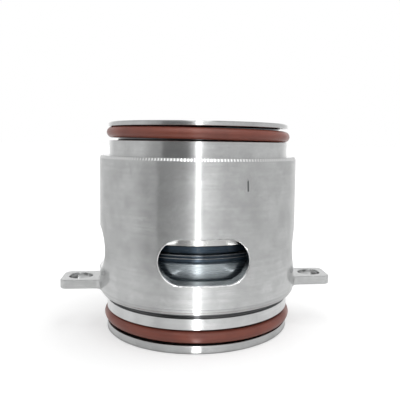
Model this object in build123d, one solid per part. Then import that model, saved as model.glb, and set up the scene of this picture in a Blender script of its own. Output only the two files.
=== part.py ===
from build123d import *
import os
from math import cos, radians, sin

# Double mechanical seal cartridge for a 40 mm shaft.
# Z is the shaft axis, z = 0 is the foot of the housing, the two lugs point along +X and -X.
# All lengths are millimetres and all angles degrees.

# ---- Shaft sleeve ----
shaft_d = 40.0                # shaft that the sleeve slides on
sleeve_wall = 2.5
sleeve_inset = 1.2            # each sleeve end lies this far inside the housing's end
drive_slot_w = 6.0            # two slots in the upper end, for a pin through the shaft
drive_slot_h = 4.5
shaft_cord_d = 1.5            # O-rings inside the sleeve
shaft_cord_play = 0.5         # their grooves are wider than the O-rings
shaft_cord_inset = 9.0        # from each sleeve end to the middle of its O-ring groove

# ---- Seal rings ----
ring_clearance = 0.4          # rotating rings over the sleeve
ring_width = 7.9              # radial width of the rotating rings
lower_ring_h = 11.5
upper_ring_h = 10.1
nose_h = 1.2                  # narrow sealing nose of each rotating ring
nose_inset = 1.7              # nose starts this far outside the ring's bore
nose_w = 4.0
ring_chamfer = 0.5
dynamic_cord_d = 2.62         # O-ring between a rotating ring and the sleeve
dynamic_pocket_h = 3.2

# ---- Stationary seats ----
lower_seat_h = 10.8
upper_seat_h = 10.4
seat_bore_play = 0.7          # seats clear of the sleeve
seat_play = 0.4               # seats in the housing's bore
seat_cord_d = 2.5             # O-ring around each seat
seat_cord_play = 0.8          # groove wider than its O-ring
seat_chamfer = 0.6
seat_pin_d = 2.0
seat_pin_reach = 3.0          # length of pin inside the seat
seat_pin_play = 0.2
seat_pin_hold = 3.0           # length of pin inside the housing

# ---- Pressure rings, carrier and springs ----
pressure_h = 2.9
pressure_floor_h = 1.1
pressure_rim_w = 1.6
bead_gap = 0.35               # groove between the two rounded beads on the pressure ring's edge
bead_gap_z = 1.75             # from the ring's face to the lower edge of that groove
bead_gap_depth = 0.45
bead_round = 0.36
underside_chamfer = 0.45
face_travel = 1.5             # how far a rotating ring can lift off its seat
travel_margin = 0.5
carrier_h = 8.8
carrier_skirt_h = 2.8
skirt_gap = 0.6               # skirt inside the pressure ring's rim
carrier_chamfer = 0.4
spring_count = 6
spring_d = 3.2
spring_wire_d = 0.6
spring_turns = 5
spring_pocket_h = 3.3         # depth of each pocket above the carrier's flange face
spring_play = 0.3
drive_pin_count = 3
drive_pin_d = 2.0
drive_pin_play = 0.35
drive_pin_depth = 2.7         # pin inside the rotating ring
drive_pin_hold = 2.3          # pin inside the carrier's flange
set_screw_count = 3
set_screw_d = 4.0
set_screw_inset = 1.2         # socket end below the carrier's rim
set_screw_socket = 2.0        # across flats

# ---- Housing, inside ----
passing_clearance = 0.5       # rotating rings pass through the seat bore
recess_depth = 1.7            # barrier space, wider than the seat bore
recess_setback = 2.5          # barrier space starts this far above a sealing face
lip_h = 9.0                   # shoulder that carries the lower seat
lip_w = 5.3
snap_ring_h = 1.5
snap_groove_depth = 1.2
snap_ring_w = 3.4
snap_ring_gap = 22.0          # degrees
snap_ear_r = 2.7
snap_ear_hole_d = 2.0
top_recess_h = 8.7            # open end above the snap ring
lead_in = 0.8

# ---- Housing, outside ----
body_wall = 7.0
upper_neck_wall = 4.95
lower_neck_wall = 5.85
top_flange_step = 0.25        # top flange stands out from the upper neck
top_flange_h = 1.7
foot_h = 3.05
lower_neck_h = 4.0
upper_neck_h = 5.9
relief_w = 2.2                # undercut between the lower neck and the body
relief_depth = 1.8
body_taper_h = 1.85           # steep taper at the body's lower end
body_taper_w = 0.9
shoulder_taper_h = 0.95       # steeper taper at the body's upper end
shoulder_taper_w = 0.35
edge_break = 0.4
groove_break = 0.12
groove_corner_r = 0.5         # hollow corners at the floors of both outer grooves
cord_d = 4.4                  # O-rings around the housing
cord_stand = 1.0              # they stand this far proud of the necks
cord_stretch_play = 0.03
lower_groove_play = 1.3       # grooves wider than the O-rings
upper_groove_play = 1.1
lower_cord_tilt = 0.55        # both O-rings lie askew in their grooves
upper_cord_tilt = 0.85

# ---- Windows and lugs ----
window_count = 4
window_w = 32.3
window_h = 16.2
window_rise = 2.0             # middle of the windows above the lower rotating ring
window_chamfer = 0.35
lug_reach = 15.35             # from the body to a lug's end
lug_w = 15.0
lug_t = 3.6
lug_drop = 0.6                # underside of the lugs below the top of the body's lower taper
lug_corner_r = 3.0
lug_root_r = 3.6
lug_cove_r = 1.0              # hollow fillet between a lug's top and the body
lug_under_cove_r = 1.6        # the same between a lug's underside and the body's taper
lug_hole_reach = 8.0          # from the body to the hole's centre
lug_hole_d = 9.4
lug_hole_chamfer = 0.3
lug_edge_break = 0.3

contact_gap = 0.02            # rubber on metal, and pins in their holes

# ---- Radii that follow ----
shaft_r = shaft_d / 2
sleeve_r = shaft_r + sleeve_wall
ring_bore_r = sleeve_r + ring_clearance
ring_r = ring_bore_r + ring_width
seat_bore_r = ring_r + passing_clearance
seat_r = seat_bore_r - seat_play
seat_inner_r = sleeve_r + seat_bore_play
recess_r = seat_bore_r + recess_depth
body_r = recess_r + body_wall
upper_neck_r = seat_bore_r + upper_neck_wall
lower_neck_r = seat_bore_r + lower_neck_wall
top_flange_r = upper_neck_r + top_flange_step
upper_groove_r = upper_neck_r + cord_stand - cord_d
lower_groove_r = lower_neck_r + cord_stand - cord_d
lip_bore_r = seat_bore_r - lip_w
dynamic_pocket_r = sleeve_r + dynamic_cord_d + 2 * contact_gap
rim_inner_r = ring_r - pressure_rim_w
skirt_r = rim_inner_r - skirt_gap
spring_circle_r = (sleeve_r + skirt_r) / 2
drive_pin_circle_r = (dynamic_pocket_r + skirt_r) / 2
spring_pocket_r = spring_d / 2 + spring_play
drive_hole_r = drive_pin_d / 2 + drive_pin_play

# ---- Heights that follow, from the foot up through the stack of seal parts ----
lower_groove_top = foot_h + cord_d + lower_groove_play
relief_z = lower_groove_top + lower_neck_h
body_bottom_z = relief_z + relief_w
taper_top_z = body_bottom_z + body_taper_h
lug_bottom_z = taper_top_z - lug_drop
lug_top_z = lug_bottom_z + lug_t

lower_face_z = lip_h + lower_seat_h
lower_ring_top = lower_face_z + lower_ring_h
carrier_room = pressure_floor_h + face_travel + travel_margin + carrier_skirt_h
carrier_bottom = lower_ring_top + carrier_room
carrier_top = carrier_bottom + carrier_h
upper_ring_bottom = carrier_top + carrier_room
upper_face_z = upper_ring_bottom + upper_ring_h
snap_ring_z = upper_face_z + upper_seat_h
housing_h = snap_ring_z + snap_ring_h + top_recess_h

upper_groove_top = housing_h - top_flange_h
upper_groove_z = upper_groove_top - cord_d - upper_groove_play
shoulder_z = upper_groove_z - upper_neck_h
window_z = lower_ring_top + window_rise
seat_pin_r = (seat_bore_r + lip_bore_r) / 2


def section(*outline):
    """A flat face on the +X side of the axis from (radius, z) corners."""
    corners = [(radius, 0, z) for radius, z in outline]
    return make_face(Polyline(*corners, close=True))


def turned(*outline):
    """A solid of revolution about Z from (radius, z) corners."""
    return revolve(section(*outline), Axis.Z)


def corners_at(face, *places):
    """Those corners of a section that lie at the given (radius, z) places."""
    return face.vertices().filter_by(
        lambda v: any(abs(v.X - radius) + abs(v.Z - z) < contact_gap for radius, z in places))


def polar(radius, angle, z=0.0):
    """A point at a radius and an angle around the shaft axis."""
    return (radius * cos(radians(angle)), radius * sin(radians(angle)), z)


def upright_rod(radius, bottom, top, place):
    """A cylinder along Z whose axis passes through place, from one height to another."""
    rod = Cylinder(radius, top - bottom, align=(Align.CENTER, Align.CENTER, Align.MIN))
    return Pos(place[0], place[1], bottom) * rod


def cord(section_d, inner_r, z):
    """An O-ring of a round section that hugs a given inner radius."""
    return Pos(0, 0, z) * Torus(inner_r + section_d / 2, section_d / 2)


def flipped(shape):
    """The same shape turned half round about Y, upside down about the middle of the carrier."""
    return turned_over(shape, carrier_bottom + carrier_top)


def window_cutter():
    """A bar with full round ends, from the shaft axis out along -Y, that mills one window."""
    slot = Plane.XZ * Pos(0, window_z) * SlotOverall(window_w, window_h)
    return extrude(slot, body_r + lug_reach)


def around(shape, count):
    """Copies of a shape evenly spaced about the shaft axis."""
    return [Rot(0, 0, index * 360 / count) * shape for index in range(count)]


def housing_blank():
    """The turned body: necks, O-ring grooves, seat bores, barrier space and snap ring groove."""
    snap_groove_r = seat_bore_r + snap_groove_depth
    snap_groove_top = snap_ring_z + snap_ring_h + contact_gap
    recess_bottom = lower_face_z + recess_setback
    recess_top = upper_face_z - recess_setback
    profile = section(
        (lip_bore_r, 0),
        (lower_neck_r - edge_break, 0),
        (lower_neck_r, edge_break),
        (lower_neck_r, foot_h - groove_break),
        (lower_neck_r - groove_break, foot_h),
        (lower_groove_r, foot_h),
        (lower_groove_r, lower_groove_top),
        (lower_neck_r - groove_break, lower_groove_top),
        (lower_neck_r, lower_groove_top + groove_break),
        (lower_neck_r, relief_z),
        (lower_neck_r - relief_depth, relief_z),
        (lower_neck_r - relief_depth, body_bottom_z),
        (body_r - body_taper_w, body_bottom_z),
        (body_r, taper_top_z),
        (body_r, shoulder_z - shoulder_taper_h),
        (body_r - shoulder_taper_w, shoulder_z),
        (upper_neck_r, shoulder_z),
        (upper_neck_r, upper_groove_z - groove_break),
        (upper_neck_r - groove_break, upper_groove_z),
        (upper_groove_r, upper_groove_z),
        (upper_groove_r, upper_groove_top),
        (top_flange_r - groove_break, upper_groove_top),
        (top_flange_r, upper_groove_top + groove_break),
        (top_flange_r, housing_h - edge_break),
        (top_flange_r - edge_break, housing_h),
        (seat_bore_r + lead_in, housing_h),
        (seat_bore_r, housing_h - lead_in),
        (seat_bore_r, snap_groove_top),
        (snap_groove_r, snap_groove_top),
        (snap_groove_r, snap_ring_z),
        (seat_bore_r, snap_ring_z),
        (seat_bore_r, recess_top),
        (recess_r, recess_top - recess_depth),
        (recess_r, recess_bottom + recess_depth),
        (seat_bore_r, recess_bottom),
        (seat_bore_r, lip_h),
        (lip_bore_r, lip_h),
    )
    groove_corners = corners_at(
        profile,
        (lower_groove_r, foot_h), (lower_groove_r, lower_groove_top),
        (upper_groove_r, upper_groove_z), (upper_groove_r, upper_groove_top))
    return revolve(fillet(groove_corners, groove_corner_r), Axis.Z)


def lug_plan():
    """Outline of the body with both lugs, with rounded ends and hollow root fillets."""
    plan = Circle(body_r) + Rectangle(2 * (body_r + lug_reach), lug_w)
    tips = plan.vertices().filter_by(lambda v: abs(v.X) > body_r + lug_reach / 2)
    plan = fillet(tips, lug_corner_r)
    roots = plan.vertices().filter_by(lambda v: abs(v.X) < body_r)
    return fillet(roots, lug_root_r)


def lugs():
    """Both lugs with their holes, joined to the body by hollow fillets above and below."""
    plan = lug_plan()
    plate = extrude(Pos(0, 0, lug_bottom_z) * plan, lug_t)
    outer_edges = plate.edges().filter_by(lambda e: abs(e.center().X) > body_r)
    level_edges = outer_edges.filter_by(lambda e: e.bounding_box().size.Z < lug_t / 2)
    plate = chamfer(level_edges, lug_edge_break)
    cove_plan = offset(plan, -lug_edge_break)
    coves = lug_coves() & extrude(Pos(0, 0, body_bottom_z) * cove_plan, window_z - body_bottom_z)
    bore = Cylinder(recess_r, housing_h * 2)
    taper_room = upright_rod(body_r + contact_gap, 0, taper_top_z, (0, 0))
    lug_pair = plate - bore - taper_room + coves
    for side in (-1, 1):
        lug_pair -= lug_hole(side)
    return lug_pair


def lug_coves():
    """A ring with a hollow fillet above and below it, where the lugs meet the body."""
    inner_r = recess_r + body_wall / 2
    under_r = body_r - body_taper_w * lug_drop / body_taper_h
    outer_r = body_r + 2 * lug_cove_r
    top_z = lug_top_z + 2 * lug_cove_r
    ring = section(
        (inner_r, body_bottom_z),
        (body_r - body_taper_w, body_bottom_z),
        (under_r, lug_bottom_z),
        (outer_r, lug_bottom_z),
        (outer_r, lug_top_z),
        (body_r, lug_top_z),
        (body_r, top_z),
        (inner_r, top_z),
    )
    ring = fillet(corners_at(ring, (body_r, lug_top_z)), lug_cove_r)
    ring = fillet(corners_at(ring, (under_r, lug_bottom_z)), lug_under_cove_r)
    return revolve(ring, Axis.Z)


def lug_hole(side):
    """The cutter for one lug's through hole, chamfered at both faces."""
    hole_r = lug_hole_d / 2
    wide_r = hole_r + lug_hole_chamfer
    cutter = turned((0, lug_bottom_z), (wide_r, lug_bottom_z), (hole_r, lug_bottom_z + lug_hole_chamfer),
                    (hole_r, lug_top_z - lug_hole_chamfer), (wide_r, lug_top_z), (0, lug_top_z))
    return Pos(side * (body_r + lug_hole_reach), 0, 0) * cutter


def lower_pin_place():
    """Where the lower seat's pin stands, half way between two windows."""
    return polar(seat_pin_r, 45)


def upper_pin_z():
    """Height of the radial pin that holds the upper seat."""
    return snap_ring_z - seat_pin_d


def upper_pin(radius, inner_r, outer_r):
    """A radial rod along +Y at the upper seat's back."""
    rod = Cylinder(radius, outer_r - inner_r, align=(Align.CENTER, Align.CENTER, Align.MIN))
    return Pos(0, inner_r, upper_pin_z()) * Rot(-90, 0, 0) * rod


def housing():
    """The one-piece housing: turned body with four milled windows and two lugs."""
    body = housing_blank() + lugs()
    for cut in around(window_cutter(), window_count):
        body -= cut
    body = chamfer(window_rims(body), window_chamfer)
    hole_r = seat_pin_d / 2 + contact_gap
    body -= upright_rod(hole_r, lip_h - seat_pin_hold, lip_h, lower_pin_place())
    body -= upper_pin(hole_r, seat_bore_r - seat_pin_d, seat_bore_r + seat_pin_hold)
    return body


def window_rims(body):
    """The edges where the windows break through the outside of the body."""
    low = window_z - window_h / 2 - edge_break
    high = window_z + window_h / 2 + edge_break
    rims = body.edges().filter_by(lambda e: low < e.bounding_box().min.Z and e.bounding_box().max.Z < high)
    middle_r = (recess_r + body_r) / 2
    return rims.filter_by(lambda e: (e @ 0.5).X ** 2 + (e @ 0.5).Y ** 2 > middle_r ** 2
                          and (e @ 0).X ** 2 + (e @ 0).Y ** 2 > middle_r ** 2)


def housing_o_ring(groove_r, groove_bottom, groove_top, tilt):
    """An O-ring around the housing, askew in its groove and high on the -X side."""
    middle = (groove_bottom + groove_top) / 2
    ring = cord(cord_d, groove_r + cord_stretch_play, 0)
    return Pos(0, 0, middle) * Rot(0, tilt, 0) * ring


def lower_housing_o_ring():
    """The O-ring around the lower neck."""
    return housing_o_ring(lower_groove_r, foot_h, lower_groove_top, lower_cord_tilt)


def upper_housing_o_ring():
    """The O-ring around the upper neck."""
    return housing_o_ring(upper_groove_r, upper_groove_z, upper_groove_top, upper_cord_tilt)


def seat_blank(height):
    """A seat standing on z = 0 with its lapped face on top and an O-ring groove around it."""
    groove_floor = seat_bore_r - seat_cord_d - 2 * contact_gap
    groove_low = (height - seat_cord_d - seat_cord_play) / 2 + seat_chamfer
    groove_high = groove_low + seat_cord_d + seat_cord_play
    return turned(
        (seat_inner_r, 0),
        (seat_r - seat_chamfer, 0),
        (seat_r, seat_chamfer),
        (seat_r, groove_low),
        (groove_floor, groove_low),
        (groove_floor, groove_high),
        (seat_r, groove_high),
        (seat_r, height - seat_chamfer),
        (seat_r - seat_chamfer, height),
        (seat_inner_r, height),
    )


def seat_cord(height):
    """The O-ring in the groove of a seat of that height, standing on z = 0."""
    inner_r = seat_bore_r - seat_cord_d - contact_gap
    return cord(seat_cord_d, inner_r, height / 2 + seat_chamfer)


def lower_seat():
    """The lower stationary ring, on the housing's shoulder."""
    hole = upright_rod(seat_pin_d / 2 + seat_pin_play, lip_h, lip_h + seat_pin_reach + seat_pin_play,
                       lower_pin_place())
    return Pos(0, 0, lip_h) * seat_blank(lower_seat_h) - hole


def upper_seat():
    """The upper stationary ring, face down, with a slot in its back for the radial pin."""
    seat = turned_over(seat_blank(upper_seat_h), snap_ring_z)
    slot_w = seat_pin_d + 2 * seat_pin_play
    slot_bottom = upper_pin_z() - slot_w / 2
    slot = Box(slot_w, 2 * seat_pin_reach, snap_ring_z - slot_bottom,
               align=(Align.CENTER, Align.CENTER, Align.MIN))
    return seat - Pos(0, seat_r, slot_bottom) * slot


def lower_seat_pin():
    """The dowel that keeps the lower seat from turning."""
    return upright_rod(seat_pin_d / 2, lip_h - seat_pin_hold, lip_h + seat_pin_reach, lower_pin_place())


def upper_seat_pin():
    """The radial dowel that keeps the upper seat from turning."""
    inner_r = seat_r - seat_pin_reach + seat_pin_play
    return upper_pin(seat_pin_d / 2, inner_r, seat_bore_r + seat_pin_hold - contact_gap)


def snap_ring():
    """The internal snap ring that closes the stack, with two plier ears at its gap."""
    outer_r = seat_bore_r + snap_groove_depth - contact_gap
    inner_r = outer_r - snap_ring_w
    ear_angle = snap_ring_gap / 2
    ear_circle_r = inner_r
    ring = Circle(outer_r) - Circle(inner_r)
    gap = make_face(Polyline((0, 0), polar(2 * outer_r, -ear_angle)[:2], polar(2 * outer_r, ear_angle)[:2],
                             close=True))
    ring = ring - gap
    for side in (-1, 1):
        centre = polar(ear_circle_r, side * (ear_angle + snap_ear_r / 2), 0)
        ear = Pos(centre[0], centre[1]) * Circle(snap_ear_r)
        ring = ring + (ear - gap) - Pos(centre[0], centre[1]) * Circle(snap_ear_hole_d / 2)
    return Rot(0, 0, -90) * extrude(Pos(0, 0, snap_ring_z) * ring, snap_ring_h)


def rotating_ring(height):
    """A rotating seal ring with its nose on z = 0 and its back on top."""
    nose_r = ring_bore_r + nose_inset
    ring = turned(
        (nose_r, 0),
        (nose_r + nose_w, 0),
        (nose_r + nose_w, nose_h),
        (ring_r - ring_chamfer, nose_h),
        (ring_r, nose_h + ring_chamfer),
        (ring_r, height - ring_chamfer),
        (ring_r - ring_chamfer, height),
        (dynamic_pocket_r, height),
        (dynamic_pocket_r, height - dynamic_pocket_h),
        (ring_bore_r, height - dynamic_pocket_h),
        (ring_bore_r, nose_h),
        (nose_r, nose_h),
    )
    hole_depth = drive_pin_depth + face_travel + travel_margin
    for place in drive_pin_places():
        ring -= upright_rod(drive_hole_r, height - hole_depth, height, place)
    return ring


def pressure_ring():
    """The cup on a rotating ring's back, with two rounded beads on its edge, standing on z = 0."""
    bead_gap_top = bead_gap_z + bead_gap
    bead_floor_r = ring_r - bead_gap_depth
    profile = make_face(Polyline(
        (ring_bore_r, 0, 0),
        (ring_r - underside_chamfer, 0, 0),
        (ring_r, 0, underside_chamfer),
        (ring_r, 0, bead_gap_z),
        (bead_floor_r, 0, bead_gap_z),
        (bead_floor_r, 0, bead_gap_top),
        (ring_r, 0, bead_gap_top),
        (ring_r, 0, pressure_h),
        (rim_inner_r, 0, pressure_h),
        (rim_inner_r, 0, pressure_floor_h),
        (ring_bore_r, 0, pressure_floor_h),
        close=True,
    ))
    bead_corners = profile.vertices().filter_by(
        lambda v: v.X > bead_floor_r + bead_round / 2 and v.Z > bead_gap_z - bead_round)
    cup = revolve(fillet(bead_corners, bead_round), Axis.Z)
    for place in drive_pin_places():
        cup -= upright_rod(drive_hole_r, 0, pressure_floor_h, place)
    return cup


def drive_pin_places():
    """Centres of the drive pins, half way between pairs of springs."""
    step = 360 / drive_pin_count
    return [polar(drive_pin_circle_r, 90 + index * step) for index in range(drive_pin_count)]


def spring_places():
    """Centres of the springs around the carrier."""
    step = 360 / spring_count
    return [polar(spring_circle_r, 90 + (index + 0.5) * step) for index in range(spring_count)]


def set_screw_angles():
    """Directions of the set screws, between springs and opposite the drive pins."""
    step = 360 / set_screw_count
    return [270 + index * step for index in range(set_screw_count)]


def radial_rod(radius, inner_r, outer_r, angle, z):
    """A cylinder that points outward from the shaft axis."""
    rod = Cylinder(radius, outer_r - inner_r, align=(Align.CENTER, Align.CENTER, Align.MIN))
    return Rot(0, 0, angle) * Pos(inner_r, 0, z) * Rot(0, 90, 0) * rod


def spring_carrier():
    """The ring fixed on the sleeve that holds both sets of springs and all drive pins."""
    bore_r = sleeve_r + contact_gap
    skirt_low = carrier_bottom - carrier_skirt_h
    skirt_high = carrier_top + carrier_skirt_h
    carrier = turned(
        (bore_r, skirt_low),
        (skirt_r, skirt_low),
        (skirt_r, carrier_bottom),
        (ring_r - carrier_chamfer, carrier_bottom),
        (ring_r, carrier_bottom + carrier_chamfer),
        (ring_r, carrier_top - carrier_chamfer),
        (ring_r - carrier_chamfer, carrier_top),
        (skirt_r, carrier_top),
        (skirt_r, skirt_high),
        (bore_r, skirt_high),
    )
    for place in spring_places():
        carrier -= upright_rod(spring_pocket_r, skirt_low, carrier_bottom + spring_pocket_h, place)
        carrier -= upright_rod(spring_pocket_r, carrier_top - spring_pocket_h, skirt_high, place)
    pin_hole_r = drive_pin_d / 2 + contact_gap
    for place in drive_pin_places():
        carrier -= upright_rod(pin_hole_r, skirt_low, carrier_bottom + drive_pin_hold, place)
        carrier -= upright_rod(pin_hole_r, carrier_top - drive_pin_hold, skirt_high, place)
    for angle in set_screw_angles():
        carrier -= radial_rod(set_screw_d / 2 + contact_gap, sleeve_r, ring_r + edge_break, angle,
                              (carrier_bottom + carrier_top) / 2)
    return carrier


def drive_pins():
    """The lower drive pins, from the carrier through the pressure ring into the rotating ring."""
    bottom = lower_ring_top - drive_pin_depth
    top = carrier_bottom + drive_pin_hold
    return Compound([upright_rod(drive_pin_d / 2, bottom, top, place) for place in drive_pin_places()])


def coil_spring(bottom, top, place):
    """One round-wire compression spring between two faces."""
    wire_r = spring_wire_d / 2
    height = top - bottom - 2 * (wire_r + contact_gap)
    path = Helix(height / spring_turns, height, spring_d / 2 - wire_r)
    section = Plane(path @ 0, z_dir=path % 0) * Circle(wire_r)
    spring = sweep(section, path=path, is_frenet=True)
    return Pos(place[0], place[1], bottom + wire_r + contact_gap) * spring


def springs():
    """The lower set of springs, from the pressure ring's floor to the bottoms of their pockets."""
    bottom = lower_ring_top + pressure_floor_h
    top = carrier_bottom + spring_pocket_h
    return Compound([coil_spring(bottom, top, place) for place in spring_places()])


def set_screws():
    """The socket set screws that fix the carrier on the sleeve."""
    middle = (carrier_bottom + carrier_top) / 2
    tip_r = sleeve_r + contact_gap
    head_r = ring_r - set_screw_inset
    screws = []
    for angle in set_screw_angles():
        screw = radial_rod(set_screw_d / 2, tip_r, head_r, angle, middle)
        socket = extrude(RegularPolygon(set_screw_socket / 2, 6, major_radius=False), set_screw_socket)
        place = Rot(0, 0, angle) * Pos(head_r - set_screw_socket, 0, middle) * Rot(0, 90, 0)
        screws.append(screw - place * socket)
    return Compound(screws)


def shaft_groove_middles():
    """Heights of the two O-ring grooves inside the sleeve."""
    return (sleeve_inset + shaft_cord_inset, housing_h - sleeve_inset - shaft_cord_inset)


def shaft_sleeve():
    """The sleeve on the shaft, with two drive slots at its upper end and two inner grooves."""
    low = sleeve_inset
    high = housing_h - sleeve_inset
    sleeve = turned((shaft_r, low), (sleeve_r - edge_break, low), (sleeve_r, low + edge_break),
                    (sleeve_r, high - edge_break), (sleeve_r - edge_break, high), (shaft_r, high))
    floor_r = shaft_r + shaft_cord_d
    half_w = (shaft_cord_d + shaft_cord_play) / 2
    for middle in shaft_groove_middles():
        sleeve -= turned((shaft_r - edge_break, middle - half_w), (floor_r, middle - half_w),
                         (floor_r, middle + half_w), (shaft_r - edge_break, middle + half_w))
    slot = Box(2 * sleeve_r + sleeve_wall, drive_slot_w, drive_slot_h,
               align=(Align.CENTER, Align.CENTER, Align.MAX))
    return sleeve - Pos(0, 0, high) * slot


def shaft_o_ring(middle):
    """An O-ring in the sleeve's bore, as the shaft squeezes it."""
    section_d = shaft_cord_d - 2 * contact_gap
    return cord(section_d, shaft_r + contact_gap, middle)


def dynamic_o_ring():
    """The O-ring between the lower rotating ring and the sleeve."""
    return cord(dynamic_cord_d, sleeve_r + contact_gap, lower_ring_top - dynamic_pocket_h / 2)


def raised(shape, z):
    """The shape moved up the shaft axis."""
    return Pos(0, 0, z) * shape


def turned_over(shape, z):
    """A shape that stands on z = 0, turned half round about Y to hang from a height instead."""
    return Pos(0, 0, z) * Rot(0, 180, 0) * shape


lower_shaft_cord_z, upper_shaft_cord_z = shaft_groove_middles()
parts = {
    "housing": housing(),
    "lower_housing_o_ring": lower_housing_o_ring(),
    "upper_housing_o_ring": upper_housing_o_ring(),
    "lower_seat": lower_seat(),
    "upper_seat": upper_seat(),
    "lower_seat_o_ring": raised(seat_cord(lower_seat_h), lip_h),
    "upper_seat_o_ring": turned_over(seat_cord(upper_seat_h), snap_ring_z),
    "lower_seat_pin": lower_seat_pin(),
    "upper_seat_pin": upper_seat_pin(),
    "snap_ring": snap_ring(),
    "shaft_sleeve": shaft_sleeve(),
    "lower_shaft_o_ring": shaft_o_ring(lower_shaft_cord_z),
    "upper_shaft_o_ring": shaft_o_ring(upper_shaft_cord_z),
    "spring_carrier": spring_carrier(),
    "set_screws": set_screws(),
    "lower_drive_pins": drive_pins(),
    "upper_drive_pins": flipped(drive_pins()),
    "lower_springs": springs(),
    "upper_springs": flipped(springs()),
    "lower_rotating_ring": raised(rotating_ring(lower_ring_h), lower_face_z),
    "upper_rotating_ring": turned_over(rotating_ring(upper_ring_h), upper_face_z),
    "lower_pressure_ring": raised(pressure_ring(), lower_ring_top),
    "upper_pressure_ring": flipped(raised(pressure_ring(), lower_ring_top)),
    "lower_ring_o_ring": dynamic_o_ring(),
    "upper_ring_o_ring": flipped(dynamic_o_ring()),
}

os.makedirs("parts", exist_ok=True)
for name, shape in parts.items():
    export_step(shape, f"parts/{name}.step")
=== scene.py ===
"""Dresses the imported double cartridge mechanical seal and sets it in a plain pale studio.

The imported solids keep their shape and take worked-steel, carbide and rubber finishes. The coil
springs and the two housing O-rings are modelled here in full. Every length in a dataclass is in
millimetres and every angle in degrees. They become metres and radians where they meet Blender.
"""

import logging
import math
from dataclasses import dataclass
from enum import Enum
from functools import cached_property
from typing import Iterable, Sequence

import bmesh
import bpy
from mathutils import Matrix, Vector


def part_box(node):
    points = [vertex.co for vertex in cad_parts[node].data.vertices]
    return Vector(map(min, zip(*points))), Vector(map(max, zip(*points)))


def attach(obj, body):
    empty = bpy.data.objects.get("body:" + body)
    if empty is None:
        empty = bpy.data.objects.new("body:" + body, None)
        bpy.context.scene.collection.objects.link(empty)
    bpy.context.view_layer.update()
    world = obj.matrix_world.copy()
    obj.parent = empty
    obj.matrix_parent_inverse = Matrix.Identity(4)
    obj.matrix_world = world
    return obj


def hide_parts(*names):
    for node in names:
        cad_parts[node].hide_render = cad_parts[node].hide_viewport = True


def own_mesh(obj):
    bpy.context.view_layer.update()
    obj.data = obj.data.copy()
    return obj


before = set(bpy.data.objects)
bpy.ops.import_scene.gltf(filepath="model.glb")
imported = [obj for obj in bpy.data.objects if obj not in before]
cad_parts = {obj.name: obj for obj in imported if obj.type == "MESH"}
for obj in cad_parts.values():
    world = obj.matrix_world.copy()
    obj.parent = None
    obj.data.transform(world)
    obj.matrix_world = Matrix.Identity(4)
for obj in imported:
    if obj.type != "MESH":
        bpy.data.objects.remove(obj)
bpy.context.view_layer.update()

LOG = logging.getLogger("cartridge_seal")
MM = 0.001
FULL_TURN = 2.0 * math.pi
RISING = (0.0, 1.0)
FALLING = (1.0, 0.0)
NOISE_SPAN = (0.3, 0.7)
WHITE = (1.0, 1.0, 1.0, 1.0)

# A Mix node has sockets of the same name for values and for colours, so they go by their numbers.
MIX_VALUES = (2, 3)
MIX_COLOURS = (6, 7)
MIXED_VALUE = 0
MIXED_COLOUR = 2

Colour = tuple[float, float, float]
Span = tuple[float, float]
Socket = bpy.types.NodeSocket
Feed = Socket | float | Sequence[float]
Feeds = dict[int | str, Feed]


class Body(Enum):
    """The rigid bodies that the new pieces ride on."""

    HOUSING = "housing_unit"
    SHAFT = "shaft_unit"


class Ends(Enum):
    """What becomes of the first and last of a row of rings when it is skinned."""

    JOINED = "joined"
    CAPPED = "capped"
    OPEN = "open"


class SealEnd(Enum):
    """The two ends of the double seal."""

    LOWER = "lower"
    UPPER = "upper"


def polar(radius: float, turn: float, height: float) -> Vector:
    """A point by its distance from the shaft axis, its angle in radians and its height."""
    return Vector((radius * math.cos(turn), radius * math.sin(turn), height))


def around(middle: float, reach: float) -> Span:
    """The span that runs from a reach below a middle value to the same reach above it."""
    return middle - reach, middle + reach


# ---------------------------------------------------------------- node building


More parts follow.
